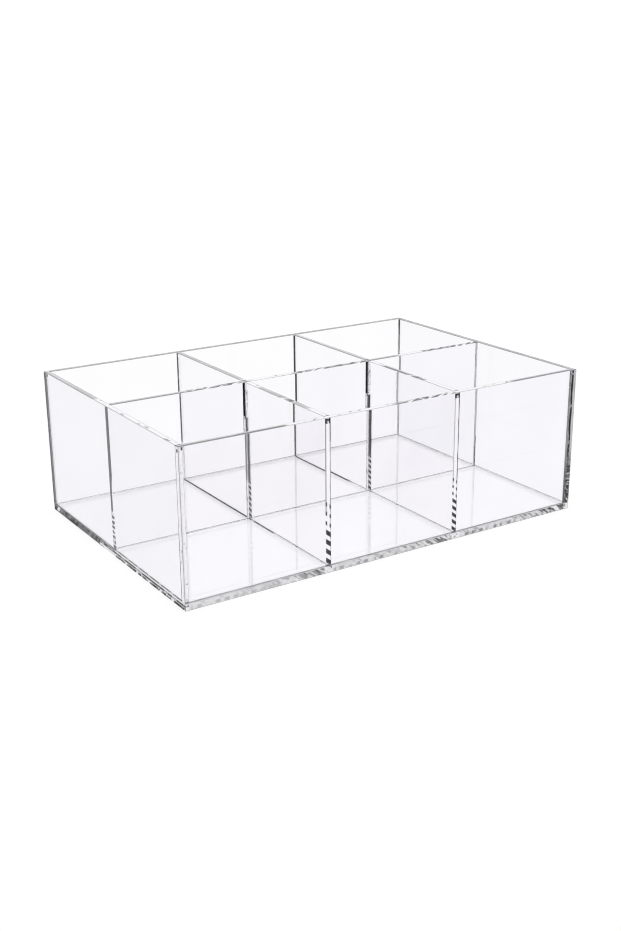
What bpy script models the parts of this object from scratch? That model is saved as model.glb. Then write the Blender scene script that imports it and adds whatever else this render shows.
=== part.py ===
"""Clear acrylic drawer organizer, 12 by 8 by 4 inches, with six equal compartments.

Eight flat sheets are butted and cemented: a base plate, four walls that stand on it in a ring,
and three dividers that cross in lap slots. Lengths are in metres, X runs along the length,
Y from front to back and Z up. The origin is the middle of the underside.
"""

import bpy
import bmesh
from mathutils import Vector

# Outer size of the organizer
OUTER_LENGTH = 0.3048
OUTER_DEPTH = 0.2032
OUTER_HEIGHT = 0.1016

# Sheet thicknesses
BASE_THICKNESS = 0.0040
WALL_THICKNESS = 0.0040
DIVIDER_THICKNESS = 0.0040

# Compartments along the length and along the depth
COLUMN_COUNT = 3
ROW_COUNT = 2

# Depth of the slots in the tops of the cross dividers, which take the long divider
CROSS_SLOT_DEPTH = 0.0244

# Cement line left between two sheets, and the play on each side of a lap slot
JOINT_GAP = 0.0003
SLOT_CLEARANCE = 0.0003

# Flat polished on every cut edge
EDGE_POLISH = 0.00025

# How far a cutter reaches past the sheet that it cuts
CUTTER_REACH = 0.0100

# Look of the sheets
ACRYLIC_COLOUR = (0.93, 0.93, 0.96, 1.0)
ACRYLIC_ROUGHNESS = 0.03
ACRYLIC_IOR = 1.49


def start_scene():
    """Empty the scene and give the collections for the sheets and for the cutters."""
    for leftover in list(bpy.data.objects):
        bpy.data.objects.remove(leftover, do_unlink=True)
    sheets = bpy.data.collections.new("drawer_organizer")
    cutters = bpy.data.collections.new("cutters")
    for collection in (sheets, cutters):
        bpy.context.scene.collection.children.link(collection)
    return sheets, cutters


def acrylic_material(name):
    """Clear cast acrylic: a smooth, see-through plastic with a faint cool tint."""
    material = bpy.data.materials.new(name + "_acrylic")
    material.use_nodes = True
    shader = material.node_tree.nodes["Principled BSDF"]
    shader.inputs["Base Color"].default_value = ACRYLIC_COLOUR
    shader.inputs["Metallic"].default_value = 0.0
    shader.inputs["Roughness"].default_value = ACRYLIC_ROUGHNESS
    shader.inputs["IOR"].default_value = ACRYLIC_IOR
    shader.inputs["Transmission Weight"].default_value = 1.0
    material.diffuse_color = ACRYLIC_COLOUR
    return material


def block(name, low, high, collection):
    """A rectangular block between two corners, placed by its object's location."""
    size = Vector(high) - Vector(low)
    mesh = bpy.data.meshes.new(name)
    body = bmesh.new()
    bmesh.ops.create_cube(body, size=1.0)
    bmesh.ops.scale(body, vec=size, verts=body.verts)
    body.to_mesh(mesh)
    body.free()
    piece = bpy.data.objects.new(name, mesh)
    piece.location = (Vector(low) + Vector(high)) / 2
    collection.objects.link(piece)
    return piece


def sheet(name, low, high, collection):
    """One sheet of acrylic, still square at its edges."""
    piece = block(name, low, high, collection)
    piece.data.materials.append(acrylic_material(name))
    return piece


def cut(piece, cutter):
    """Take the cutter's shape out of a sheet."""
    cutter.hide_render = True
    cutter.display_type = "WIRE"
    slot = piece.modifiers.new(cutter.name, "BOOLEAN")
    slot.operation = "DIFFERENCE"
    slot.solver = "EXACT"
    slot.object = cutter


def polish_edges(piece):
    """Take the sharp corner off every edge of a sheet."""
    polish = piece.modifiers.new("polished_edges", "BEVEL")
    polish.width = EDGE_POLISH
    polish.segments = 1
    polish.limit_method = "ANGLE"


def base_plate(collection):
    """The full-size plate that every other sheet stands on."""
    low = (-OUTER_LENGTH / 2, -OUTER_DEPTH / 2, 0.0)
    high = (OUTER_LENGTH / 2, OUTER_DEPTH / 2, BASE_THICKNESS)
    return sheet("base_plate", low, high, collection)


def walls(collection):
    """Four walls in a ring: each covers the end of one neighbour and butts on the other."""
    left, right = -OUTER_LENGTH / 2, OUTER_LENGTH / 2
    front, back = -OUTER_DEPTH / 2, OUTER_DEPTH / 2
    foot, rim = BASE_THICKNESS + JOINT_GAP, OUTER_HEIGHT
    butt = WALL_THICKNESS + JOINT_GAP
    return [
        sheet("front_wall", (left, front, foot), (right - butt, front + WALL_THICKNESS, rim), collection),
        sheet("right_wall", (right - WALL_THICKNESS, front, foot), (right, back - butt, rim), collection),
        sheet("back_wall", (left + butt, back - WALL_THICKNESS, foot), (right, back, rim), collection),
        sheet("left_wall", (left, front + butt, foot), (left + WALL_THICKNESS, back, rim), collection),
    ]


def divider_centres(outer_size, compartments):
    """Middles of the dividers that part the clear inside into equal compartments."""
    inside = outer_size - 2 * WALL_THICKNESS
    clear = (inside - (compartments - 1) * DIVIDER_THICKNESS) / compartments
    first = -inside / 2 + clear + DIVIDER_THICKNESS / 2
    return [first + number * (clear + DIVIDER_THICKNESS) for number in range(compartments - 1)]


def divider_span(outer_size):
    """Half the length of a divider that reaches from one wall to the wall across."""
    return outer_size / 2 - WALL_THICKNESS - JOINT_GAP


def side_names(stem, count):
    """Names for a row of like dividers, counted from the left or from the front."""
    if count == 1:
        return [stem]
    if count == 2:
        return [stem + "_left", stem + "_right"]
    return [f"{stem}_{number}" for number in range(1, count + 1)]


def dividers(collection, cutters):
    """Long and cross dividers, with the lap slots that let them pass through each other."""
    foot = BASE_THICKNESS + JOINT_GAP
    rim = OUTER_HEIGHT
    slot_floor = rim - CROSS_SLOT_DEPTH
    half_sheet = DIVIDER_THICKNESS / 2
    half_slot = half_sheet + SLOT_CLEARANCE
    reach_x = divider_span(OUTER_LENGTH)
    reach_y = divider_span(OUTER_DEPTH)
    columns = divider_centres(OUTER_LENGTH, COLUMN_COUNT)
    rows = divider_centres(OUTER_DEPTH, ROW_COUNT)
    pieces = []

    for name, y in zip(side_names("long_divider", len(rows)), rows):
        piece = sheet(name, (-reach_x, y - half_sheet, foot), (reach_x, y + half_sheet, rim), collection)
        for number, x in enumerate(columns, start=1):
            low = (x - half_slot, y - half_sheet - CUTTER_REACH, foot - CUTTER_REACH)
            high = (x + half_slot, y + half_sheet + CUTTER_REACH, slot_floor)
            cut(piece, block(f"{name}_slot_{number}", low, high, cutters))
        pieces.append(piece)

    for name, x in zip(side_names("cross_divider", len(columns)), columns):
        piece = sheet(name, (x - half_sheet, -reach_y, foot), (x + half_sheet, reach_y, rim), collection)
        for number, y in enumerate(rows, start=1):
            low = (x - half_sheet - CUTTER_REACH, y - half_slot, slot_floor - JOINT_GAP)
            high = (x + half_sheet + CUTTER_REACH, y + half_slot, rim + CUTTER_REACH)
            cut(piece, block(f"{name}_slot_{number}", low, high, cutters))
        pieces.append(piece)
    return pieces


def main():
    """Build the organizer from its eight sheets."""
    sheets, cutters = start_scene()
    pieces = [base_plate(sheets)] + walls(sheets) + dividers(sheets, cutters)
    for piece in pieces:
        polish_edges(piece)
    bpy.context.view_layer.update()


main()
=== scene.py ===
"""Looks of the clear acrylic drawer organizer: eight flat sheets with sawn and polished edges,
solvent cement in their joints, and the plain white studio that the organizer stands in.

Lengths are in metres. X runs along the organizer, Y from front to back and Z up.
"""

import bpy
import numpy as np
from bpy.props import FloatProperty, FloatVectorProperty, IntProperty, PointerProperty
from mathutils import Matrix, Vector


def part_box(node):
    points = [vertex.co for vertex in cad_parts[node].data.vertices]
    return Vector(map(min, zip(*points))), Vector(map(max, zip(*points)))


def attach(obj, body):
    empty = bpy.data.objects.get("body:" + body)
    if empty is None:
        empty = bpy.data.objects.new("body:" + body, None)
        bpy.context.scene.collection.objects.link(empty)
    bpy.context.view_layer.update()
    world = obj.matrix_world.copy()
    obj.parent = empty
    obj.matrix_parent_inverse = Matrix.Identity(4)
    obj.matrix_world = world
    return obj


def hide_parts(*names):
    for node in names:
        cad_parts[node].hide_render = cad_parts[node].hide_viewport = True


bl_info = {
    "name": "Acrylic drawer organizer",
    "version": (1, 0, 0),
    "blender": (4, 5, 0),
    "location": "3D View > Sidebar > Organizer",
    "description": "Clear acrylic sheets, sawn edges, cement lines and the studio of a drawer organizer",
    "category": "Mesh",
}

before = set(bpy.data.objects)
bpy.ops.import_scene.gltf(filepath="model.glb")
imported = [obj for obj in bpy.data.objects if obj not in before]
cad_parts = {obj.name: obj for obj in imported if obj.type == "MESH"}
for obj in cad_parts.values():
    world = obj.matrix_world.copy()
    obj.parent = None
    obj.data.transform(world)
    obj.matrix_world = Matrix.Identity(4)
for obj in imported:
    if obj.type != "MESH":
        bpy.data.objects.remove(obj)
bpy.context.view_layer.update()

BODY = "root"

# Thickness of a sheet, for the size of the marks across its edges
SHEET = 0.0040

# Finishes of a sheet, in the order of its material slots
FACE, ARRIS, EDGE, FILM = range(4)

# Axes of a sheet: the two of its outline, and its normal
X_SHEET = ((1, 0, 0), (0, 0, 1), (0, -1, 0))
Y_SHEET = ((0, 1, 0), (0, 0, 1), (1, 0, 0))
FLAT_SHEET = ((1, 0, 0), (0, 1, 0), (0, 0, 1))

# Distance between mesh points along an edge without marks, and the angle in degrees of a sharp edge
PLAIN_STEP = 0.020
SHARP_ANGLE = 25.0

# Saw marks: the bow of the blade's arcs, the pitch and phase of their waves and of the wave that
# roughens them, and how much finer they are on the upright sheets than on the base plate
SAW_BOW = 0.0012
SAW_WAVES = ((0.0017, 0.3), (0.0029, 1.9), (0.0047, 4.1))
ROUGH_PITCH, ROUGH_PHASE = 0.061, 1.0
UPRIGHT_POLISH = 3

# Widths over which marks fade: a line's sides and ends, a bar's sides and ends, and a patch's rim
LINE_SIDE, LINE_END = 0.08, 0.0006
BAR_SIDE, BAR_END = 0.10, 0.0003
PATCH_RIM = 0.12

# Tone and cover of the strongest marks, mostly painted dark and light in place of what internal
# reflection and refraction show
BLACK, NEARLY_BLACK, SOLID_WHITE = (0.0, 1.0), (0.01, 0.98), (1.0, 1.0)

# Random values along each side of the lattice behind the mottled marks
LATTICE = 97

# Least share of paint in the line that an arris draws, on an upright sheet and on the base plate; the
# line is painted dark, in place of what refraction shows in the arris
UPRIGHT_LINE, BASE_LINE = 0.40, 0.10

# Clear faces: share of the tint in their darker spots, which are painted faint reflections, height of
# their waves, and what is left of their first reflection, which would veil the marks behind it
REFLECTION_SPOT_TINT = 0.985
WAVE_HEIGHT = 0.00002
FIRST_REFLECTION = (0.25, 0.25, 0.25, 1.0)

WHITE = (1.0, 1.0, 1.0, 1.0)

# Floor: its grid points on a side, the level at which the camera sees it, a little over white so
# that its noise doesn't show, and the distances at which it starts to fade and has faded
FLOOR_POINTS = 9
SEEN_WHITE = 1.015
FADE_START, FADE_END = 0.6, 3.4

# Camera's sensor in millimetres, light paths through the sheets, and a pixel filter in pixels that
# keeps the fine lines sharp
SENSOR_WIDTH = 36.0
SHEET_BOUNCES, GLOSSY_BOUNCES = 48, 16
FILTER_WIDTH = 1.1


class SheetSizes(bpy.types.PropertyGroup):
    """Sizes of the sheets' edges and joints."""

    arris: FloatProperty(
        name="Arris", description="Width of the flat taken off each corner of an edge",
        default=0.00025, min=0.0, subtype="DISTANCE", unit="LENGTH")
    joint_gap: FloatProperty(
        name="Joint gap", description="Gap that the frame leaves for the cement between two sheets",
        default=0.0003, min=0.0, subtype="DISTANCE", unit="LENGTH")
    cement: FloatProperty(
        name="Cement", description="Thickness of the cement line that is left between two sheets",
        default=0.00002, min=0.0, subtype="DISTANCE", unit="LENGTH")
    edge_step: FloatProperty(
        name="Edge step", description="Distance between mesh points along a free edge or a foot",
        default=0.0004, min=0.0001, subtype="DISTANCE", unit="LENGTH")
    film_step: FloatProperty(
        name="Film step", description="Distance between mesh points along an upright cemented edge",
        default=0.0003, min=0.0001, subtype="DISTANCE", unit="LENGTH")
    rows: IntProperty(
        name="Rows", description="Rows of mesh points across the thickness of a sheet",
        default=14, min=3)
    saw_depth: FloatProperty(
        name="Saw marks", description="Depth of the marks that the saw leaves on the base plate's edges",
        default=0.00010, min=0.0, subtype="DISTANCE", unit="LENGTH")


class AcrylicLook(bpy.types.PropertyGroup):
    """Colours of the acrylic, its edges and the cement."""

    # One acrylic, three tints: the side walls' darker tint and the front wall's lighter one are painted
    # shade and light, matched to how bright each wall looks at its angle to the view
    side_tint: FloatVectorProperty(
        name="Side tint", description="Colour that the side walls let through", subtype="COLOR",
        size=4, min=0.0, max=1.0, default=(0.960, 0.956, 0.982, 1.0))
    front_tint: FloatVectorProperty(
        name="Front tint", description="Colour that the front wall lets through", subtype="COLOR",
        size=4, min=0.0, max=1.0, default=(0.990, 0.985, 1.0, 1.0))
    inner_tint: FloatVectorProperty(
        name="Inner tint", description="Colour that the base, the back wall and the dividers let through",
        subtype="COLOR", size=4, min=0.0, max=1.0, default=(0.989, 0.985, 0.996, 1.0))
    index: FloatProperty(
        name="Index of refraction", description="Index of refraction of cast acrylic",
        default=1.49, min=1.0, max=2.0)
    edge_tint: FloatVectorProperty(
        name="Edge tint", description="Cast of the cut edges and of the cement", subtype="COLOR",
        size=4, min=0.0, max=1.0, default=(0.982, 0.976, 1.0, 1.0))
    # The arris line is painted dark, in place of what refraction shows in the arris's flat
    line_grey: FloatVectorProperty(
        name="Arris line", description="Fine line that an arris draws along an edge", subtype="COLOR",
        size=4, min=0.0, max=1.0, default=(0.20, 0.21, 0.22, 1.0))


class StudioSizes(bpy.types.PropertyGroup):
    """Floor, light and camera."""

    floor_size: FloatProperty(
        name="Floor", description="Length of each side of the floor", default=8.0,
        subtype="DISTANCE", unit="LENGTH")
    floor_drop: FloatProperty(
        name="Floor drop", description="Gap between the floor and the underside of the organizer",
        default=0.0002, subtype="DISTANCE", unit="LENGTH")
    floor_tone: FloatProperty(
        name="Floor tone", description="Share of the light that the floor sends back to the organizer",
        default=0.85, min=0.0, max=1.0)
    shadow_tone: FloatProperty(
        name="Shadow tone", description="Share of what is seen of the floor that shows the shadow",
        default=0.15, min=0.0, max=1.0)
    mirrored: FloatProperty(
        name="Mirrored floor", description="Level at which a reflection shows the floor",
        default=0.88, min=0.0, max=1.0)
    sky: FloatProperty(
        name="Sky", description="Level of the soft light from all round", default=1.0, min=0.0)
    lens: FloatProperty(
        name="Lens", description="Focal length of the camera", default=48.27, unit="CAMERA")
    camera_place: FloatVectorProperty(
        name="Camera", description="Place of the camera", size=3, subtype="TRANSLATION", unit="LENGTH",
        default=(-0.44808, -0.70126, 0.31818))
    camera_right: FloatVectorProperty(
        name="Camera right", description="Direction to the right of the picture", size=3,
        default=(0.84084, -0.54122, -0.00827))
    camera_up: FloatVectorProperty(
        name="Camera up", description="Direction to the top of the picture", size=3,
        default=(0.18235, 0.26884, 0.94577))


def corner_mitres(points):
    """Inward offset of a closed outline's points, for an offset of one.

    A point between two sides moves by (n1 + n2) / (1 + n1 . n2), where n1 and n2 are the inward
    normals of the sides that meet there, so every side moves inwards by exactly one.
    """
    ahead = np.roll(points, -1, axis=0) - points
    ahead /= np.linalg.norm(ahead, axis=1, keepdims=True)
    inward = np.stack([-ahead[:, 1], ahead[:, 0]], axis=1)
    before = np.roll(inward, 1, axis=0)
    return (inward + before) / (1.0 + np.sum(inward * before, axis=1, keepdims=True))


def sampled_outline(corners, steps):
    """Points along a closed outline: each side is split into equal steps, as near its own as they go.

    Gives the points, the side that each one starts on, and the distance run along that side.
    """
    corners = np.array(corners, float)
    points, sides, runs = [], [], []
    for side, (start, end) in enumerate(zip(corners, np.roll(corners, -1, axis=0))):
        length = np.linalg.norm(end - start)
        count = max(1, round(length / steps[side]))
        share = np.arange(count) / count
        points.append(start + (end - start) * share[:, None])
        sides.append(np.full(len(share), side))
        runs.append(share * length)
    return np.concatenate(points), np.concatenate(sides), np.concatenate(runs)


def chamfered(corners, finishes, width):
    """The outline with each corner cut by a short side of its own, which has the arris finish."""
    corners = np.array(corners, float)
    ahead = np.roll(corners, -1, axis=0) - corners
    ahead /= np.linalg.norm(ahead, axis=1, keepdims=True)
    behind = np.roll(ahead, 1, axis=0)
    cut_corners = np.stack([corners - behind * width, corners + ahead * width], axis=1).reshape(-1, 2)
    cut_finishes = [finish for own in finishes for finish in (Finish(ARRIS, PLAIN_STEP), own)]
    return cut_corners, cut_finishes


def saw_relief(run, across, depth):
    """Depth of the marks on a sawn edge, from 0 to depth.

    The blade leaves arcs: waves along the run, bent back by the square of the place across the
    thickness. Three pitches are added, and a slow wave makes some stretches rougher.
    """
    bent = run + SAW_BOW * (across * 2.0 - 1.0) ** 2
    ridges = sum(np.sin(2.0 * np.pi * bent / pitch + phase) for pitch, phase in SAW_WAVES)
    rough = 0.5 + 0.5 * np.sin(2.0 * np.pi * run / ROUGH_PITCH + ROUGH_PHASE)
    return depth * rough * (ridges / (2.0 * len(SAW_WAVES)) + 0.5)


def eased(share):
    """0 at 0 and 1 at 1, with a level start and end: 3 x squared less 2 x cubed."""
    share = np.clip(share, 0.0, 1.0)
    return share * share * (3.0 - 2.0 * share)


def band(value, low, high, soft):
    """1 between low and high and 0 outside, eased over a width of soft at both ends."""
    return eased((value - low) / soft + 0.5) * eased((high - value) / soft + 0.5)


def mottle(x, y, seed):
    """Smooth random values from 0 to 1: one value at each corner of a unit lattice, eased between."""
    table = np.random.default_rng(seed).random((LATTICE, LATTICE))
    column, row = np.floor(x).astype(int), np.floor(y).astype(int)
    across, up = eased(x - column), eased(y - row)

    def corner(right, above):
        return table[(column + right) % LATTICE, (row + above) % LATTICE]

    low = corner(0, 0) + (corner(1, 0) - corner(0, 0)) * across
    high = corner(0, 1) + (corner(1, 1) - corner(0, 1)) * across
    return low + (high - low) * up


class Film:
    """Look of a cut edge or a cement line: its tone (0 black, 1 white) and cover (0 clear, 1 solid).

    along is the place on the side's own axis, in metres, and v the place across the sheet, from
    0 to 1. The film starts even, and each mark is laid over it where its mask is. Each call gives a
    mark's measures first: place and width across and both ends of a line, pitch and both ends of
    bars, or length, width and amount of patches. Its tone and cover follow, and a seed for patches.
    The tones are partly the edges' own saw marks and cement, and partly painted light and dark: the
    black lines, bars and bands and the white stretches stand in for what refraction and internal
    reflection in the clear sheets show, and they stay fixed to the surface as the view turns.
    """

    def __init__(self, along, v, tone, cover):
        self.along, self.v = along, v
        self.tone = np.full_like(along, tone)
        self.cover = np.full_like(along, cover)

    def mark(self, mask, tone, cover):
        """Lay one tone and cover over the film where the mask is 1."""
        self.tone += (tone - self.tone) * mask
        self.cover += (cover - self.cover) * mask

    def line(self, place, width, low, high, tone, cover, sway=0.0, pitch=0.012):
        """A line along the film at one place across, which may sway to and fro on its way."""
        middle = place + sway * np.sin(2.0 * np.pi * self.along / pitch)
        mask = band(self.v, middle - width / 2, middle + width / 2, LINE_SIDE)
        self.mark(mask * band(self.along, low, high, LINE_END), tone, cover)

    def bars(self, pitch, low, high, tone, cover, slant, left, right, share=0.45):
        """Bars from left to right across the film, one each pitch, that fall by slant on the way."""
        phase = ((self.along + slant * self.v - low) / pitch) % 1.0
        mask = band(phase, 0.02, share, BAR_SIDE) * band(self.v, left, right, BAR_SIDE)
        self.mark(mask * band(self.along + slant * self.v, low, high, BAR_END), tone, cover)

    def mottled(self, length, width, amount, tone, cover, seed, slant=0.0, mask=1.0):
        """Random patches of one length and width, leaning by slant, on about this amount of the film."""
        across = self.v * SHEET
        noise = mottle((self.along + slant * across) / length, across / width, seed)
        self.mark(eased((noise - 1.0 + amount) / PATCH_RIM + 0.5) * mask, tone, cover)


def base_front(along, v, low, high):
    """Front edge of the base plate: pale, with a white patch under each joint and round spots after
    it, and fine slanting saw strokes that gather towards the next one, and most at the right."""
    # Partly painted light and dark: the white patch under each joint and the dark and white strokes stand
    # in for what refraction shows in the edge, over the saw marks
    film = Film(along, v, 0.99, 0.80)
    bay, spot = (high - low) / 3.0, 0.0062
    place = ((along - low) / bay) % 1.0
    gather = eased((place - 0.30) / 0.60) * (0.60 + 0.40 * eased((along - low) / (high - low)))
    bay_rise = 0.45 + 0.55 * eased((along - low) / bay - 0.6)
    film.mottled(0.0060, 0.0022, 0.36, 0.88, 0.80, 11)
    film.mottled(0.0014, 0.0040, 0.24, 0.58, 0.82, 12, slant=1.2, mask=bay_rise)
    spots = band((place * bay / spot) % 1.0, 0.20, 0.75, 0.25) * band(v, 0.10, 0.60, 0.20)
    spots = spots * eased((mottle(along / spot, v * 0.0, 18) - 0.20) / 0.30)
    film.mark(spots * bay_rise * (1.0 - eased((place - 0.35) / 0.40)), 0.36, 0.80)
    film.mottled(0.0015, 0.0045, 0.50, 0.14, 0.92, 13, slant=1.3, mask=gather)
    film.mottled(0.0020, 0.0040, 0.27, 0.02, 0.95, 14, slant=1.3, mask=gather)
    film.mottled(0.0015, 0.0040, 0.28, 1.00, 0.92, 15, slant=1.3, mask=gather)
    patch = band((place + 0.04) % 1.0, 0.0, 0.07, 0.02)
    film.mark(patch * 0.9, 1.0, 0.95)
    film.mottled(0.0016, 0.0014, 0.16, 0.30, 0.90, 27, mask=patch)
    film.line(0.0, 0.16, low, high, 0.50, 0.85)
    return film


def base_left(along, v, low, high):
    """Left edge of the base plate: dark grey at the back with one pale chip at the corner, then
    white under a dark line, and in front of that a row of dark blocks under the same line."""
    # Partly painted light and dark: the dark grey back, the white stretch and the dark blocks stand in
    # for what refraction shows in the edge, over the saw marks
    lean = along + 0.9 * v * SHEET
    film = Film(along, v, 0.99, 0.90)
    back = eased((lean - 0.023) / 0.003 + 0.5)
    film.mark(back, 0.20, 0.92)
    film.mottled(0.0022, 0.0040, 0.45, 0.07, 0.94, 21, slant=0.9, mask=back)
    film.mottled(0.0016, 0.0030, 0.25, 0.46, 0.90, 25, slant=0.9, mask=back)
    film.mark(band(lean, high - 0.0080, high - 0.0045, 0.0010) * band(v, 0.25, 1.0, 0.10), 0.97, 0.90)
    film.mark(band(lean, 0.015, 0.024, 0.002) * band(v, -1.0, 0.16, 0.08), 0.10, 0.90)
    front = 1.0 - back
    film.mark(front * band(v, 0.55, 0.86, 0.08), 0.09, 0.92)
    film.mark(front * eased(along / 0.004 + 1.0) * band(v, 0.80, 1.2, 0.08), 0.15, 0.92)
    film.mottled(0.0036, 0.0016, 0.32, 0.62, 0.90, 22, slant=0.9, mask=front * band(v, 0.52, 0.90, 0.08))
    block = band(((lean - low) / 0.0165) % 1.0, 0.08, 0.90, 0.06) * band(v, -1.0, 0.44, 0.10)
    block = block * eased((-0.002 - along) / 0.003 + 0.5)
    film.mark(block, 0.26, 0.90)
    film.mottled(0.0019, 0.0020, 0.42, 0.05, 0.93, 23, slant=0.9, mask=block)
    film.mottled(0.0018, 0.0018, 0.24, 0.98, 0.94, 24, slant=0.9, mask=block)
    film.mark(block * band(along, low, low + 0.014, 0.002) * 0.8, 0.04, 0.94)
    return film


def left_foot(along, v, low, high):
    """Foot of the left wall: dark grey at the back, and a row of dark dashes in front of that."""
    # Painted dark over the cement line: the dark grey back and the dark dashes stand in for what
    # refraction shows at the foot through the base plate
    film = Film(along, v, 0.98, 0.30)
    back = eased((along - 0.018) / 0.006 + 0.5)
    film.mark(back, 0.22, 0.85)
    film.mottled(0.0020, 0.0030, 0.40, 0.12, 0.88, 43, slant=-0.9, mask=back)
    dash = band(((along - low) / 0.0155) % 1.0, 0.08, 0.88, 0.06) * band(v, 0.45, 1.2, 0.12)
    film.mark((1.0 - back) * dash, 0.09, 0.86)
    return film


def base_far(along, v, low, high):
    """Right or back edge of the base plate: pale, with fine slanting saw strokes that come and go."""
    # The dark strokes and the lines at the arrises are partly saw marks and partly painted dark, in place
    # of what refraction shows in the edge
    film = Film(along, v, 0.98, 0.80)
    gather = eased((mottle(along / 0.030, v * 0.0, 19) - 0.15) / 0.60)
    film.mottled(0.0060, 0.0022, 0.36, 0.86, 0.80, 17)
    film.mottled(0.0015, 0.0045, 0.42, 0.24, 0.90, 16, slant=1.3, mask=gather)
    film.mottled(0.0014, 0.0040, 0.22, 0.06, 0.92, 20, slant=1.3, mask=gather)
    film.mottled(0.0015, 0.0040, 0.28, 1.00, 0.92, 26, slant=1.3, mask=gather)
    film.line(0.97, 0.14, low, high, 0.25, 0.70)
    film.line(0.03, 0.14, low, high, 0.30, 0.60)
    return film


def top_edge(along, v, low, high, tone, line, seed, near=1.0, width=0.30, pale=(), rough=(), streak=()):
    """Top edge of an upright sheet: an even band, with a line of this tone and width along its near
    side, which is v 0 or 1.

    Pale stretches are nearly white between two fine lines, rough ones keep dark dashes and white
    chips of the saw, and streak ones have a second dark line.
    """
    # The lines, dark dashes and white stretches are partly saw marks and partly painted light and dark,
    # in place of what refraction and internal reflection show along the edge
    film = Film(along, v, tone, 0.65)
    inwards = 1.0 - 2.0 * near
    film.mottled(0.014, 0.004, 0.45, tone + 0.10, 0.65, seed)
    film.line(1.0 - near, 0.14, low, high, 0.60, 0.45)
    film.line(near + inwards * width / 2.0, width, low, high, line, 0.80)
    for start, stop in streak:
        film.line(near + inwards * 0.36, 0.40, start, stop, 0.30, 0.80)
    for start, stop in pale:
        mask = band(along, start, stop, 0.006)
        film.mark(mask, *SOLID_WHITE)
        film.mark(mask * band(v, near - 0.14, near + 0.14, 0.08), 0.62, 0.90)
        film.mark(mask * band(v, 0.86 - near, 1.14 - near, 0.08), 0.58, 0.90)
        film.mottled(0.0036, 0.0014, 0.13, 0.42, 0.85, seed + 1, slant=1.2, mask=mask)
    for start, stop in rough:
        mask = band(along, start, stop, 0.006)
        film.mottled(0.0028, 0.0030, 0.46, 0.22, 0.85, seed + 2, slant=1.5, mask=mask)
        film.mottled(0.0024, 0.0030, 0.34, 0.99, 0.88, seed + 3, slant=1.5, mask=mask)
    return film


def foot_lines(along, v, low, high, near=0.30, far=0.30):
    """Foot of an upright sheet on the base plate: nearly clear, with a fine line at each side."""
    # The lines are partly the cement and partly painted dark, in place of what refraction shows at the
    # foot
    film = Film(along, v, 0.98, 0.25)
    film.line(0.0, 0.18, low, high, near, 0.55)
    film.line(1.0, 0.18, low, high, far, 0.55)
    return film


def front_foot(along, v, low, high):
    """Foot of the front wall: nearly white, with a broken grey line near its inner side, which gets
    darker to the right."""
    # The white and the grey line are partly the cement and partly painted light and dark, in place of
    # what refraction shows at the foot
    film = Film(along, v, 1.0, 0.65)
    line = band(v, 0.20, 0.40, 0.08) * (0.30 + 0.70 * eased((along - 0.030) / 0.070))
    film.mottled(0.0060, 0.0020, 0.35, 0.82, 0.65, 41)
    film.mark(line, 0.42, 0.80)
    film.mottled(0.0060, 0.0040, 0.45, 0.16, 0.88, 44, mask=line)
    return film


def dark_foot(along, v, low, high, solid=0.003, broken=-0.036, near=0.12, far=0.08):
    """Foot of a cross divider: black from solid to the back, in dashes from there to broken, and in
    front of that a line along its right side. The black and the dashes are partly the cement line
    and partly painted dark, in place of what refraction and internal reflection show there."""
    film = foot_lines(along, v, low, high, near, far)
    film.line(1.0, 0.30, low, broken, far, 0.75)
    film.mark(band(along, solid, high + 1.0, 0.004) * band(v, -1.0, 1.0, 0.12), *NEARLY_BLACK)
    dashes = eased((mottle(along / 0.0050, v * 0.0, 42) - 0.40) / 0.10 + 0.5)
    film.mark(band(along, broken, solid, 0.002) * dashes * band(v, -1.0, 0.85, 0.12), 0.02, 0.95)
    return film


def front_joint(along, v, low, high, pitch, count, left, right):
    """Cross divider on the front wall: white between lines of the tones left and right, with a dark
    mottled patch at the top, and at the foot this count of black bars with shorter ones above them.
    The white and the black are partly the cement line and partly painted light and dark, in place of
    what refraction and internal reflection show through the joint."""
    film = Film(along, v, *SOLID_WHITE)
    sound, first, slant = low + 0.034, low + 0.0016, 0.0032
    film.line(0.06, 0.20, sound, high, left, 0.75)
    film.line(0.93, 0.26, sound, high, right, 0.92, sway=0.02)
    film.line(0.92, 0.24, high - 0.016, high, 0.05, 0.94)
    film.line(0.95, 0.14, low, sound, 0.20, 0.75)
    top = first + count * pitch
    film.bars(pitch, first, top, 0.04, 0.98, slant, left=0.04, right=0.97, share=0.56)
    film.bars(pitch, top, top + 3.0 * pitch, 0.06, 0.92, slant, left=-0.1, right=0.26)
    film.bars(pitch, top, top + 3.0 * pitch, 0.04, 0.95, slant, left=0.70, right=1.1)
    cap = band(along, high - 0.0042, high - 0.0006, 0.0006)
    film.mottled(0.0012, 0.0012, 0.45, 0.02, 0.96, 55, mask=cap)
    film.mark(cap * band(v, 0.62, 1.2, 0.1), 0.02, 0.96)
    return film


def back_joint(along, v, low, high, dry=0.80, sound=0.0):
    """Cross divider on the back wall: nearly black from its left side to dry, but pale below
    the height of sound. The black is partly the cement line and partly painted dark, in place of
    what internal reflection shows through the joint."""
    film = Film(along, v, 0.95, 0.30)
    film.mark(band(v, -1.0, dry, 0.12) * eased((along - sound) / 0.004 + 0.5), *NEARLY_BLACK)
    return film


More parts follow.
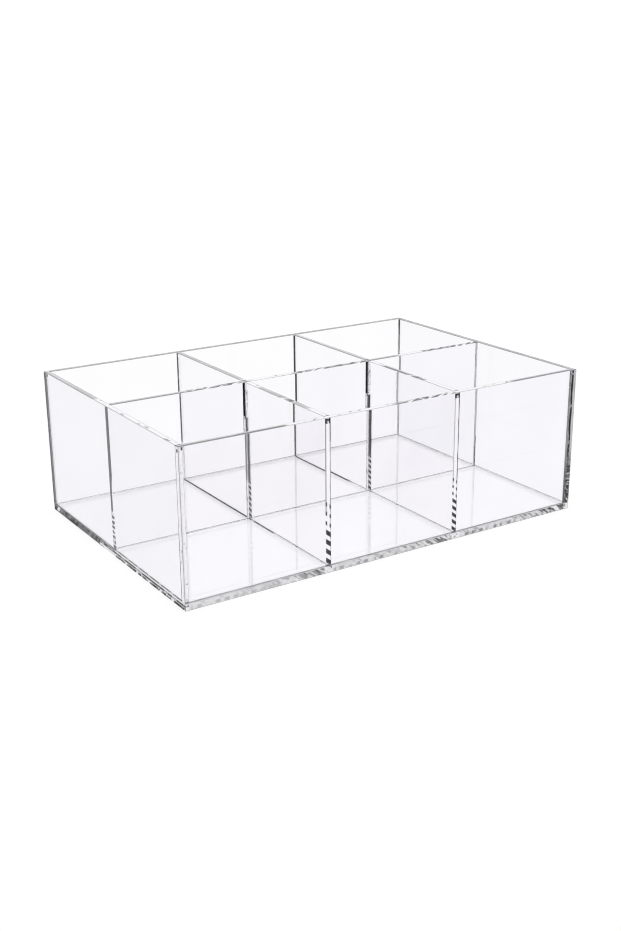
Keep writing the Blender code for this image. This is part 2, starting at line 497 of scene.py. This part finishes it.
def left_joint(along, v, low, high):
    """Long divider on the left wall: nearly black at the top, which narrows to a winding line on
    white, and at the foot white with black bars and specks. The black and the white are partly the
    cement line and partly painted light and dark, in place of what refraction and internal
    reflection show through the joint."""
    film = Film(along, v, 1.0, 0.95)
    wane = eased((along - 0.036) / 0.030)
    film.mark(band(v, -1.0, 0.16 + 0.86 * wane, 0.14), 0.06, 0.94)
    film.line(0.34 + 0.34 * wane, 0.82, 0.030, high, *BLACK, sway=0.04, pitch=0.017)
    foot = 1.0 - eased((along - 0.028) / 0.003 + 0.5)
    film.mark(foot, 1.0, 0.95)
    film.bars(0.0034, low, 0.029, *BLACK, slant=0.0, left=-0.1, right=1.1, share=0.62)
    film.mottled(0.0012, 0.0018, 0.28, 0.0, 0.98, 51, mask=foot)
    film.mottled(0.0012, 0.0014, 0.18, 1.0, 0.95, 52, mask=foot)
    return film


def right_joint(along, v, low, high):
    """Long divider on the right wall: two fine lines, and a broad dark one near the foot."""
    # The lines are partly the cement and partly painted dark, in place of what internal reflection shows
    # through the joint
    film = Film(along, v, 0.97, 0.60)
    film.line(0.08, 0.16, low, high, 0.50, 0.55)
    film.line(0.92, 0.22, low, high, 0.40, 0.70)
    film.line(0.70, 0.55, low, low + 0.024, 0.04, 0.92, sway=0.06, pitch=0.005)
    return film


def lap_top(along, v, low, high, black=0.38, rest=0.62):
    """Slot of a cross divider, seen through the long divider: black on the left, the tone rest on the
    right, and a line at its right edge."""
    # The black and the grey are painted dark over the cement, in place of what internal reflection shows
    # in the slot where the sheets cross
    film = Film(along, v, rest, 0.88)
    film.mark(band(v, -1.0, black, 0.10), *NEARLY_BLACK)
    film.line(0.96, 0.16, low, high, 0.40, 0.75)
    return film


def lap_foot(along, v, low, high, place=0.52, width=0.52):
    """Right side of a slot of the long divider: a black line on pale grey, and below it white with
    black bars."""
    # The black line and bars are partly the cement and partly painted dark, in place of what internal
    # reflection shows in the slot
    film = Film(along, v, 0.62, 0.85)
    film.line(place, width, low + 0.024, high, *NEARLY_BLACK, sway=0.04, pitch=0.019)
    foot = 1.0 - eased((along - low - 0.024) / 0.004)
    film.mark(foot, *SOLID_WHITE)
    film.bars(0.0041, low + 0.0010, low + 0.0270, *BLACK, slant=0.0010, left=0.20, right=1.0, share=0.55)
    return film


def lap_side(along, v, low, high, solid=0.85):
    """Side of a slot that is seen from inside its own sheet: grey with the cover solid in the middle
    of its height, and nearly clear above and below."""
    # The grey is partly the cement and partly painted dark, in place of what internal reflection shows in
    # the slot
    middle = eased((along - 0.030) / 0.008) * (1.0 - eased((along - 0.065) / 0.002))
    film = Film(along, v, 0.52, 0.10)
    film.mark(middle, 0.52, solid)
    film.mottled(0.0060, 0.0040, 0.40, 0.70, solid, 53, mask=middle)
    film.line(0.12, 0.20, low, high, 0.45, 0.30 + 0.5 * solid)
    film.mottled(0.0020, 0.0020, 0.22, 0.35, 0.70, 54, mask=1.0 - middle)
    return film


def pale_joint(along, v, low, high, dull=0.0, sunk=0.0):
    """A joint between two walls: white, with a fine line at each side, a few dark specks, and a dark
    mark near the top. Up to dull across it is grey, and up to the height of sunk its
    first line is dark. The grey and the dark are partly the cement line and partly painted dark, in
    place of what refraction and internal reflection show through the joint."""
    film = Film(along, v, *SOLID_WHITE)
    film.mark(band(v, -1.0, dull, 0.12), 0.25, 0.85)
    film.line(0.0, 0.16, low, high, 0.62, 0.60)
    film.line(0.04, 0.26, low, sunk, 0.08, 0.88)
    film.line(1.0, 0.14, low, high, 0.68, 0.60)
    film.mottled(0.0016, 0.0009, 0.05, 0.15, 0.80, 61)
    film.mark(band(along, high - 0.0030, high - 0.0010, 0.0006) * band(v, 0.70, 1.2, 0.1), 0.03, 0.95)
    return film


def dark_top_joint(along, v, low, high):
    """Right wall on the back wall: dark at the top, then pale between two lines that fade downwards.
    The dark is partly the cement line and partly painted dark, in place of what internal reflection
    shows through the joint.
    """
    film = Film(along, v, 0.98, 0.75)
    rise = eased((along - low) / (high - low) / 0.8)
    film.line(0.0, 0.18, low, high, 0.62 - 0.30 * rise, 0.70)
    film.line(0.92, 0.20, low, high, 0.70 - 0.50 * rise, 0.80)
    film.mark(eased((along - high + 0.010) / 0.005) * band(v, 0.30, 1.2, 0.1), 0.02, 0.95)
    film.mark(eased((along - high + 0.026) / 0.018) * band(v, 0.66, 1.2, 0.1), 0.04, 0.92)
    return film


def front_right_joint(along, v, low, high):
    """Front wall on the right wall: white with a faint line along its inner side, and grey towards
    the foot."""
    # The grey towards the foot is partly the cement and partly painted dark, in place of what refraction
    # shows through the joint
    film = Film(along, v, 1.0, 0.94)
    foot = 1.0 - eased((along - 0.022) / 0.034)
    film.mark(foot, 0.30, 0.92)
    film.line(0.06, 0.14, low, high, 0.60, 0.60)
    return film


def pale_end(along, v, low, high):
    """Cut end of the front wall: white, with a fine line at each side and a few dark specks."""
    # The white and the lines are partly the cut end's finish and partly painted light and dark, in place
    # of what refraction shows in the end
    film = Film(along, v, *SOLID_WHITE)
    film.line(0.0, 0.24, low, high, 0.80, 0.90)
    film.line(0.94, 0.24, low, high, 0.46, 0.90, sway=0.04, pitch=0.019)
    film.mottled(0.0016, 0.0009, 0.06, 0.25, 0.80, 62)
    film.mark(band(along, high - 0.0035, high - 0.0015, 0.0006) * band(v, 0.35, 0.75, 0.1), 0.03, 0.95)
    return film


def dark_end(along, v, low, high):
    """Cut end of the right wall: a dark mottled line beside a grey band, and towards the foot fine
    dark and pale chips over all of it."""
    # The dark line, the grey band and the chips at the foot are partly saw marks and partly painted dark,
    # in place of what refraction shows in the cut end
    film = Film(along, v, 0.64, 0.90)
    film.mottled(0.0100, 0.0040, 0.40, 0.50, 0.88, 65)
    film.line(0.20, 0.42, low, high, 0.03, 0.97, sway=0.04, pitch=0.023)
    film.mottled(0.0018, 0.0010, 0.24, 0.40, 0.90, 63, mask=band(v, 0.04, 0.40, 0.10))
    film.line(0.98, 0.14, low, high, 0.30, 0.88)
    foot = 1.0 - eased((along - 0.026) / 0.022)
    film.mark(foot, 0.22, 0.92)
    film.mottled(0.0010, 0.0018, 0.46, 0.05, 0.94, 64, slant=0.3, mask=foot)
    film.mottled(0.0010, 0.0016, 0.30, 0.62, 0.90, 67, slant=0.3, mask=foot)
    return film


def grey_end(along, v, low, high):
    """Cut end of the left or the back wall: dark grey, with fine strokes of the saw across it."""
    # The dark grey is partly the sawn finish and partly painted dark, in place of what refraction shows
    # in the cut end
    film = Film(along, v, 0.11, 0.88)
    film.mottled(0.0013, 0.0030, 0.42, 0.24, 0.86, 66, slant=0.4)
    film.mottled(0.0011, 0.0024, 0.26, 0.03, 0.92, 68, slant=0.4)
    return film


class Finish:
    """How one side of a sheet's outline is finished: its material slot, the distance between its
    mesh points, its film with the values that the film takes, and the depth of its saw marks."""

    def __init__(self, slot, step, film=None, saw_depth=0.0, **values):
        self.slot, self.step, self.film, self.saw_depth, self.values = slot, step, film, saw_depth, values


def edge_map(runs, steps, levels):
    """Corners of each face of the edge in the map along_edge: the run along its side, and the level."""
    rows = len(levels) - 1
    after = np.where(np.roll(runs, -1) > runs, np.roll(runs, -1), runs + steps)
    run_low, run_high = np.repeat(runs[:, None], rows, axis=1), np.repeat(after[:, None], rows, axis=1)
    low, high = np.broadcast_to(levels[:-1], run_low.shape), np.broadcast_to(levels[1:], run_low.shape)
    return np.stack([run_low, low, run_high, low, run_high, high, run_low, high], axis=-1).reshape(-1, 2)


def edge_paint(grid, across, sides, finishes, headings):
    """Tone and cover of each point of the edge, from the film of the side that it is on.

    A film's place along its side is the coordinate on the side's heading, 0 for X to 2 for Z.
    """
    paint = np.ones((*grid.shape[:2], 4))
    paint[:, :, 3] = 0.0
    for side, finish in enumerate(finishes):
        if finish.film:
            on = sides == side
            along = grid[on][:, :, headings[side]]
            v = np.broadcast_to(across, along.shape)
            film = finish.film(along, v, along.min(), along.max(), **finish.values)
            paint[on, :, :3] = np.clip(film.tone, 0.0, 1.0)[:, :, None]
            paint[on, :, 3] = np.clip(film.cover, 0.0, 1.0)
    return paint


def sheet_mesh(name, corners, finishes, thickness, axes, place, arris, rows):
    """One sheet: two flat faces on its outline, and an edge carried round the outline.

    The edge is a profile across the thickness: flat, with an arris at both ends. Its point at
    (run, across) is the outline's point at run, moved inwards by the arris at the first and last
    row and by the saw marks between them, and moved by across along the sheet's normal.
    """
    corners, finishes = chamfered(corners, finishes, arris)
    steps = np.array([finish.step for finish in finishes])
    points, sides, runs = sampled_outline(corners, steps)
    mitres = corner_mitres(points)
    levels = np.concatenate([[0.0], np.linspace(arris, thickness - arris, rows), [thickness]])
    across = levels / thickness
    depth = np.array([finish.saw_depth for finish in finishes])[sides]
    inset = np.full((len(points), len(levels)), arris)
    inset[:, 1:-1] = saw_relief(runs[:, None], across[None, 1:-1], depth[:, None])

    flat = points[:, None, :] + mitres[:, None, :] * inset[:, :, None]
    place, axes = np.array(place, float), np.array(axes, float)
    grid = place + flat[:, :, :1] * axes[0] + flat[:, :, 1:] * axes[1]
    grid = grid + (levels - thickness / 2)[None, :, None] * axes[2]

    index = np.arange(inset.size).reshape(inset.shape)
    after = np.roll(index, -1, axis=0)
    quads = np.stack([index[:, :-1], after[:, :-1], after[:, 1:], index[:, 1:]], axis=-1)
    flat_faces = [index[::-1, 0].tolist(), index[:, -1].tolist()]
    mesh = bpy.data.meshes.new(name)
    mesh.from_pydata(grid.reshape(-1, 3), [], quads.reshape(-1, 4).tolist() + flat_faces)
    slots = np.repeat(np.array([finish.slot for finish in finishes])[sides], len(levels) - 1)
    mesh.polygons.foreach_set("material_index", np.append(slots, [FACE, FACE]).astype(np.int32))

    flat_map = np.concatenate([flat[::-1, 0], flat[:, -1]])
    uv = mesh.uv_layers.new(name="along_edge")
    uv.data.foreach_set("uv", np.concatenate([edge_map(runs, steps[sides], levels), flat_map]).ravel())
    headings = np.abs((np.roll(corners, -1, axis=0) - corners) @ axes[:2]).argmax(axis=1)
    film = mesh.color_attributes.new(name="film", type="FLOAT_COLOR", domain="POINT")
    film.data.foreach_set("color", edge_paint(grid, across, sides, finishes, headings).ravel())
    mesh.shade_smooth()
    mesh.set_sharp_from_angle(angle=np.radians(SHARP_ANGLE))
    mesh.validate()
    return mesh


class Shading:
    """Builds a material's nodes with one call each."""

    def __init__(self, name):
        self.material = bpy.data.materials.get(name) or bpy.data.materials.new(name)
        self.material.use_nodes = True
        self.tree = self.material.node_tree
        self.tree.nodes.clear()
        self.output = self.tree.nodes.new("ShaderNodeOutputMaterial")

    def node(self, kind, values=(), **settings):
        """A node with these settings, and with a link or a value on each of the sockets given."""
        made = self.tree.nodes.new(kind)
        for key, value in settings.items():
            setattr(made, key, value)
        for key, value in dict(values).items():
            if isinstance(value, bpy.types.NodeSocket):
                self.tree.links.new(value, made.inputs[key])
            else:
                made.inputs[key].default_value = value
        return made

    def place(self):
        """Object coordinates, which stay on the sheet as it moves."""
        return self.node("ShaderNodeTexCoord").outputs["Object"]

    def maths(self, operation, *values):
        """Result of a calculation, kept between 0 and 1."""
        made = self.node("ShaderNodeMath", enumerate(values), operation=operation, use_clamp=True)
        return made.outputs[0]

    def stretch(self, value, low, high):
        """0 at low and 1 at high."""
        made = self.node("ShaderNodeMapRange", {"Value": value, "From Min": low, "From Max": high})
        return made.outputs["Result"]

    def level(self, share, first, second):
        """Two numbers, with this share of the second."""
        return self.node("ShaderNodeMix", {0: share, 2: first, 3: second}).outputs[0]

    def colour(self, share, first, second, blend="MIX"):
        """Two colours, with this share of the second."""
        made = self.node("ShaderNodeMix", {0: share, 6: first, 7: second}, data_type="RGBA",
                         blend_type=blend)
        return made.outputs[2]

    def noise(self, vector, scale, detail, roughness=0.5, distortion=0.0):
        """Cloudy values from 0 to 1, with about this many clouds in a metre."""
        made = self.node("ShaderNodeTexNoise", {
            "Vector": vector, "Scale": scale, "Detail": detail, "Roughness": roughness,
            "Distortion": distortion})
        return made.outputs["Fac"]

    def glass(self, look, tint, **values):
        """Clear acrylic of this tint."""
        return self.node("ShaderNodeBsdfPrincipled", {
            "Base Color": tint, "IOR": look.index, "Transmission Weight": 1.0,
            "Roughness": 0.0, "Specular Tint": FIRST_REFLECTION, **values})

    def paint(self, colour):
        """Dull surface of a mark."""
        return self.node("ShaderNodeBsdfPrincipled", {
            "Base Color": colour, "Roughness": 0.6, "Specular IOR Level": 0.05})

    def mixed(self, share, first, second):
        """Two shaders, with this share of the second."""
        return self.node("ShaderNodeMixShader", {0: share, 1: first.outputs[0], 2: second.outputs[0]})

    def finish(self, shader):
        """Give the shader to the material's output."""
        self.tree.links.new(shader.outputs[0], self.output.inputs["Surface"])
        return self.material


def clear_face(look, name, tint):
    """Clear cast acrylic: its tint has faint darker spots, which are painted reflections, and its
    polished faces are never quite flat.
    """
    shade = Shading("clear_" + name)
    place = shade.place()
    reflection_spots = shade.stretch(shade.noise(place, 24.0, 3.0), 0.30, 0.70)
    spot_tint = tuple(channel * REFLECTION_SPOT_TINT for channel in tint[:3]) + (1.0,)
    colour = shade.colour(reflection_spots, tint, spot_tint)
    wavy = shade.node("ShaderNodeBump", {
        "Height": shade.noise(place, 18.0, 1.0), "Distance": WAVE_HEIGHT, "Strength": 1.0})
    return shade.finish(shade.glass(look, colour, Normal=wavy.outputs[0]))


def arris_line(look, name, tint, strength=UPRIGHT_LINE):
    """The flat on an arris, which shows as a fine broken grey line of about this strength: grey paint
    mixed into the acrylic, painted dark in place of what refraction shows in the flat.
    """
    shade = Shading("arris_" + name)
    broken = shade.stretch(shade.noise(shade.place(), 260.0, 3.0), 0.35, 0.60)
    share = shade.maths("MULTIPLY_ADD", broken, 0.30, strength)
    return shade.finish(shade.mixed(share, shade.glass(look, tint), shade.paint(look.line_grey)))


def marked(shade, look, tint, marks, depth, extra_cover):
    """Paint with the tone and cover of the film attribute, which the marks darken by up to depth and
    make more solid by up to extra_cover."""
    film = shade.node("ShaderNodeAttribute", attribute_name="film")
    share = shade.maths("MULTIPLY_ADD", marks, extra_cover, film.outputs["Alpha"])
    fade = shade.maths("MULTIPLY_ADD", marks, -depth, 1.0)
    cast = shade.colour(1.0, film.outputs["Color"], look.edge_tint, "MULTIPLY")
    tone = shade.colour(1.0, cast, fade, "MULTIPLY")
    return shade.finish(shade.mixed(share, shade.glass(look, tint), shade.paint(tone)))


def cut_edge(look, name, tint):
    """A cut edge: the film attribute gives its tone, partly the saw's and partly painted light and dark,
    and fine slanting saw streaks lie over it.
    """
    shade = Shading("cut_edge_" + name)
    along = shade.node("ShaderNodeUVMap", uv_map="along_edge").outputs["UV"]
    slanted = shade.node("ShaderNodeMapping", {
        "Vector": along, "Rotation": (0.0, 0.0, 0.5), "Scale": (1.0, 0.28, 1.0)}).outputs["Vector"]
    streaks = shade.stretch(shade.noise(slanted, 900.0, 3.0, 0.6, 0.4), 0.50, 0.75)
    return marked(shade, look, tint, streaks, depth=0.22, extra_cover=0.08)


def cement_and_reflection_film(look, name, tint):
    """Cement between two sheets, and the painted light and dark laid over it: the film attribute gives
    its tone, with fine dark specks.
    """
    shade = Shading("cement_film_" + name)
    specks = shade.stretch(shade.noise(shade.place(), 900.0, 2.0), 0.68, 0.74)
    return marked(shade, look, tint, specks, depth=0.50, extra_cover=0.50)


def sheet_materials(look, name="inner"):
    """The materials of a sheet, in the order of the finishes: name is side, front or inner."""
    tint = tuple(getattr(look, name + "_tint"))
    return [make(look, name, tint) for make in (clear_face, arris_line, cut_edge, cement_and_reflection_film)]


def show(node, mesh, materials):
    """Put a finished sheet in the scene in the place of its node, on the organizer's one body."""
    old = bpy.data.objects.get(node + "_sheet")
    if old:
        bpy.data.objects.remove(old, do_unlink=True)
    piece = bpy.data.objects.new(node + "_sheet", mesh)
    for material in materials:
        mesh.materials.append(material)
    bpy.context.scene.collection.objects.link(piece)
    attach(piece, BODY)
    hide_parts(node)


def stand(scene, node, box, axes, corners, finishes, kind="inner"):
    """Build an upright sheet from its outline, around the middle plane of its node's box."""
    sizes = scene.organizer_sheets
    low, high = box
    across = 1 if axes is X_SHEET else 0
    place = [0.0, 0.0, 0.0]
    place[across] = (low[across] + high[across]) / 2
    mesh = sheet_mesh(node + "_sheet", corners, finishes, high[across] - low[across], axes, place,
                      sizes.arris, sizes.rows)
    show(node, mesh, sheet_materials(scene.organizer_look, kind))


def sawn(sizes, film, **values):
    """Finish of a free edge of an upright sheet."""
    return Finish(EDGE, sizes.edge_step, film, sizes.saw_depth / UPRIGHT_POLISH, **values)


def cemented(sizes, film, **values):
    """Finish of an upright edge that is cemented to another sheet."""
    return Finish(FILM, sizes.film_step, film, **values)


def slot_level(node):
    """Heights of the corners inside a slotted divider, as its lowest and its highest."""
    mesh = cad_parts[node].data
    co = np.zeros(len(mesh.vertices) * 3, np.float32)
    mesh.vertices.foreach_get("co", co)
    low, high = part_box(node)
    margin = 0.001
    heights = co[2::3]
    inner = heights[(heights > low.z + margin) & (heights < high.z - margin)]
    return float(inner.min()), float(inner.max())


# Marks on the top edge of each wall
WALL_TOPS = {
    "front_wall": dict(tone=0.88, line=0.26, width=0.42, seed=71,
                       pale=((-0.080, -0.002), (0.046, 0.094)), rough=((0.003, 0.046),),
                       streak=((-0.114, -0.080), (0.094, 0.147))),
    "right_wall": dict(tone=0.60, line=0.40, near=0.0, seed=72),
    "back_wall": dict(tone=0.66, line=0.36, seed=73),
    "left_wall": dict(tone=0.84, line=0.42, near=0.0, width=0.22, seed=74, pale=((-0.110, 0.016),)),
}

# Marks on the edges of each cross divider, and on both sides of the slot of the long divider that
# it passes through
CROSS_DIVIDERS = {
    "cross_divider_left": {
        "top": dict(tone=0.78, line=0.48, width=0.24, rough=((-0.062, -0.044),),
                    pale=((-0.018, 0.005), (-0.110, -0.078))),
        "front": dict(pitch=0.0063, count=4, left=0.45, right=0.40),
        "back": dict(sound=0.034),
        "lap": {},
        "foot": {},
        "slot_left": dict(solid=0.80),
        "slot_right": {},
    },
    "cross_divider_right": {
        "top": dict(tone=0.92, line=0.38, width=0.30, rough=((-0.064, -0.046),),
                    pale=((-0.018, 0.002), (-0.110, -0.066)), streak=((-0.064, -0.020),)),
        "front": dict(pitch=0.0049, count=5, left=0.72, right=0.02),
        "back": dict(dry=1.2),
        "lap": dict(black=0.44, rest=1.0),
        "foot": dict(solid=0.026, broken=0.010, near=0.30, far=0.48),
        "slot_left": dict(solid=0.12),
        "slot_right": dict(place=0.62, width=0.74),
    },
}


class ORGANIZER_OT_base_plate(bpy.types.Operator):
    """Lay the base plate, with its sawn edges"""

    bl_idname = "organizer.base_plate"
    bl_label = "Base plate"

    def execute(self, context):
        sizes, look = context.scene.organizer_sheets, context.scene.organizer_look
        low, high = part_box("base_plate")
        corners = [(low.x, low.y), (high.x, low.y), (high.x, high.y), (low.x, high.y)]
        finishes = [Finish(EDGE, sizes.edge_step, film, sizes.saw_depth)
                    for film in (base_front, base_far, base_far, base_left)]
        # The plate takes up the gap under the uprights, all but the cement
        thickness = high.z - low.z + sizes.joint_gap - sizes.cement
        place = (0.0, 0.0, low.z + thickness / 2)
        mesh = sheet_mesh("base_plate_sheet", corners, finishes, thickness, FLAT_SHEET, place,
                          sizes.arris, sizes.rows)
        # A weak arris line, because this plate is seen through all the others
        materials = sheet_materials(look)
        materials[ARRIS] = arris_line(look, "base", tuple(look.inner_tint), BASE_LINE)
        show("base_plate", mesh, materials)
        return {"FINISHED"}


class ORGANIZER_OT_walls(bpy.types.Operator):
    """Stand the four walls on the base plate, in a ring"""

    bl_idname = "organizer.walls"
    bl_label = "Walls"

    def execute(self, context):
        sizes = context.scene.organizer_sheets
        # Each wall's axes, its tint, its two ends and its foot
        walls = {
            "front_wall": (X_SHEET, "front", sawn(sizes, pale_end), cemented(sizes, front_right_joint),
                           front_foot),
            "right_wall": (Y_SHEET, "side", sawn(sizes, dark_end), cemented(sizes, dark_top_joint),
                           foot_lines),
            "back_wall": (X_SHEET, "inner", cemented(sizes, pale_joint, dull=0.55), sawn(sizes, grey_end),
                          foot_lines),
            "left_wall": (Y_SHEET, "side", cemented(sizes, pale_joint, sunk=0.048), sawn(sizes, grey_end),
                          left_foot),
        }
        for node, (axes, kind, first, second, foot_film) in walls.items():
            low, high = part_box(node)
            along = 0 if axes is X_SHEET else 1
            # A cemented end takes up the gap to its neighbour, all but the cement
            reach_first, reach_second = [
                sizes.joint_gap - sizes.cement if end.slot == FILM else 0.0 for end in (first, second)]
            start, stop = low[along] - reach_first, high[along] + reach_second
            corners = [(start, low.z), (stop, low.z), (stop, high.z), (start, high.z)]
            foot = Finish(FILM, sizes.edge_step, foot_film)
            top = sawn(sizes, top_edge, **WALL_TOPS[node])
            stand(context.scene, node, (low, high), axes, corners, [foot, second, top, first], kind)
        return {"FINISHED"}


class ORGANIZER_OT_long_divider(bpy.types.Operator):
    """Set in the long divider, slotted from below for the cross dividers"""

    bl_idname = "organizer.long_divider"
    bl_label = "Long divider"

    def execute(self, context):
        sizes = context.scene.organizer_sheets
        node = "long_divider"
        low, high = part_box(node)
        level = slot_level(node)[1]
        reach = sizes.joint_gap - sizes.cement
        foot = Finish(FILM, sizes.edge_step, foot_lines)
        top = sawn(sizes, top_edge, tone=0.86, line=0.30, width=0.42, seed=75,
                   pale=((-0.048, -0.014), (0.076, 0.098)),
                   rough=((-0.095, -0.053), (-0.010, 0.047), (0.098, 0.152)))
        corners, finishes = [(low.x - reach, low.z)], [foot]
        for cross, marks in CROSS_DIVIDERS.items():
            cross_low, cross_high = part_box(cross)
            left, right = cross_low.x - sizes.joint_gap, cross_high.x + sizes.joint_gap
            corners += [(left, low.z), (left, level), (right, level), (right, low.z)]
            finishes += [cemented(sizes, lap_side, **marks["slot_left"]), Finish(FACE, PLAIN_STEP),
                         cemented(sizes, lap_foot, **marks["slot_right"]), foot]
        corners += [(high.x + reach, low.z), (high.x + reach, high.z), (low.x - reach, high.z)]
        finishes += [cemented(sizes, right_joint), top, cemented(sizes, left_joint)]
        stand(context.scene, node, (low, high), X_SHEET, corners, finishes)
        return {"FINISHED"}


class ORGANIZER_OT_cross_dividers(bpy.types.Operator):
    """Drop in the two cross dividers, slotted from above for the long divider"""

    bl_idname = "organizer.cross_dividers"
    bl_label = "Cross dividers"

    def execute(self, context):
        sizes = context.scene.organizer_sheets
        long_low, long_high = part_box("long_divider")
        slot_front, slot_back = long_low.y - sizes.joint_gap, long_high.y + sizes.joint_gap
        reach = sizes.joint_gap - sizes.cement
        for node, marks in CROSS_DIVIDERS.items():
            low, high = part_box(node)
            front, back = low.y - reach, high.y + reach
            level = slot_level(node)[0]
            top = sawn(sizes, top_edge, near=0.0, seed=76, **marks["top"])
            corners = [
                (front, low.z), (back, low.z), (back, high.z), (slot_back, high.z),
                (slot_back, level), (slot_front, level), (slot_front, high.z), (front, high.z)]
            finishes = [
                Finish(FILM, sizes.edge_step, dark_foot, **marks["foot"]),
                cemented(sizes, back_joint, **marks["back"]), top,
                cemented(sizes, lap_top, **marks["lap"]), Finish(FACE, PLAIN_STEP),
                cemented(sizes, lap_side), top, cemented(sizes, front_joint, **marks["front"])]
            stand(context.scene, node, (low, high), Y_SHEET, corners, finishes)
        return {"FINISHED"}


def studio_floor(shade, tone, seen_tone, mirrored):
    """White floor: it sends its share of the light back to the organizer.

    What the camera sees of it, straight or through the acrylic, keeps the organizer's faint shadow
    and is topped up to white. A reflection of it is topped up to the level mirrored. Far from the
    organizer both fade to the white of the world, so that no horizon shows in the sheets.
    """
    light = shade.node("ShaderNodeLightPath").outputs
    seen = shade.maths("MAXIMUM", light["Is Camera Ray"], light["Is Glossy Ray"])
    seen = shade.maths("MAXIMUM", seen, light["Is Transmission Ray"])
    turned = shade.maths("MINIMUM", light["Glossy Depth"], 1.0)
    grey = shade.colour(seen, (tone, tone, tone, 1.0), (seen_tone, seen_tone, seen_tone, 1.0))
    paint = shade.node("ShaderNodeBsdfDiffuse", {"Color": grey})
    close = shade.level(turned, SEEN_WHITE - seen_tone, mirrored - seen_tone)
    reach = shade.node("ShaderNodeVectorMath", {0: shade.place()}, operation="LENGTH").outputs["Value"]
    level = shade.level(shade.stretch(reach, FADE_START, FADE_END), close, 1.0 - seen_tone)
    top_up = shade.node("ShaderNodeEmission", {
        "Color": WHITE, "Strength": shade.maths("MULTIPLY", seen, level)})
    both = shade.node("ShaderNodeAddShader", {0: paint.outputs[0], 1: top_up.outputs[0]})
    return shade.finish(both)


def floor_mesh(size, drop):
    """Square floor: a level grid of points, each side as long as size, and drop below the origin."""
    side = np.linspace(-size / 2, size / 2, FLOOR_POINTS)
    u, v = np.meshgrid(side, side, indexing="xy")
    points = np.stack([u, v, np.full_like(u, -drop)], axis=-1).reshape(-1, 3)
    index = np.arange(FLOOR_POINTS ** 2).reshape(FLOOR_POINTS, FLOOR_POINTS)
    quads = np.stack([index[:-1, :-1], index[:-1, 1:], index[1:, 1:], index[1:, :-1]], axis=-1)
    mesh = bpy.data.meshes.new("studio_floor")
    mesh.from_pydata(points, [], quads.reshape(-1, 4).tolist())
    return mesh


def soft_world(strength):
    """White world, which lights the organizer evenly from all round."""
    world = bpy.data.worlds.new("soft_white")
    world.use_nodes = True
    background = world.node_tree.nodes["Background"]
    background.inputs["Color"].default_value = WHITE
    background.inputs["Strength"].default_value = strength
    return world


def aimed_camera(studio):
    """Camera at the photograph's viewing angle.

    Its turn has three columns: the directions to the right and to the top of the picture, and
    their cross product, which points back at the camera.
    """
    camera = bpy.data.cameras.new("camera")
    camera.lens = studio.lens
    camera.sensor_width = SENSOR_WIDTH
    holder = bpy.data.objects.new("camera", camera)
    right, up = np.array(studio.camera_right), np.array(studio.camera_up)
    turn = np.stack([right, up, np.cross(right, up)], axis=1)
    rotation = Matrix(turn.tolist()).to_quaternion()
    holder.matrix_world = Matrix.LocRotScale(studio.camera_place, rotation, None)
    return holder


class ORGANIZER_OT_studio(bpy.types.Operator):
    """Set up the white floor, the soft light and the camera"""

    bl_idname = "organizer.studio"
    bl_label = "Studio"

    def execute(self, context):
        scene, studio = context.scene, context.scene.organizer_studio
        mesh = floor_mesh(studio.floor_size, studio.floor_drop)
        mesh.materials.append(studio_floor(
            Shading("studio_white"), studio.floor_tone, studio.shadow_tone, studio.mirrored))
        floor = bpy.data.objects.new("studio_floor", mesh)
        scene.collection.objects.link(floor)

        scene.world = soft_world(studio.sky)
        camera = aimed_camera(studio)
        scene.collection.objects.link(camera)
        scene.camera = camera
        scene.view_settings.view_transform = "Standard"
        scene.cycles.max_bounces = SHEET_BOUNCES
        scene.cycles.transmission_bounces = SHEET_BOUNCES
        scene.cycles.glossy_bounces = GLOSSY_BOUNCES
        scene.cycles.blur_glossy = 0.0
        scene.cycles.filter_width = FILTER_WIDTH
        return {"FINISHED"}


class VIEW3D_PT_organizer(bpy.types.Panel):
    """Sizes, colours and steps of the drawer organizer"""

    bl_label = "Drawer organizer"
    bl_space_type = "VIEW_3D"
    bl_region_type = "UI"
    bl_category = "Organizer"

    def draw(self, context):
        for group in ("organizer_sheets", "organizer_look", "organizer_studio"):
            owner = getattr(context.scene, group)
            column = self.layout.box().column()
            for name in owner.__annotations__:
                column.prop(owner, name)
        for operator in OPERATORS:
            self.layout.operator(operator.bl_idname)


OPERATORS = (
    ORGANIZER_OT_studio, ORGANIZER_OT_base_plate, ORGANIZER_OT_walls,
    ORGANIZER_OT_long_divider, ORGANIZER_OT_cross_dividers,
)
CLASSES = (SheetSizes, AcrylicLook, StudioSizes, *OPERATORS, VIEW3D_PT_organizer)


def register():
    """Add the classes, and their sizes and colours, to Blender."""
    for cls in CLASSES:
        bpy.utils.register_class(cls)
    bpy.types.Scene.organizer_sheets = PointerProperty(type=SheetSizes)
    bpy.types.Scene.organizer_look = PointerProperty(type=AcrylicLook)
    bpy.types.Scene.organizer_studio = PointerProperty(type=StudioSizes)


def unregister():
    """Take out what register added."""
    del bpy.types.Scene.organizer_studio
    del bpy.types.Scene.organizer_look
    del bpy.types.Scene.organizer_sheets
    for cls in reversed(CLASSES):
        bpy.utils.unregister_class(cls)


def main():
    """Build the organizer and its studio."""
    register()
    bpy.ops.organizer.studio()
    bpy.ops.organizer.base_plate()
    bpy.ops.organizer.walls()
    bpy.ops.organizer.long_divider()
    bpy.ops.organizer.cross_dividers()


if __name__ == "__main__":
    main()
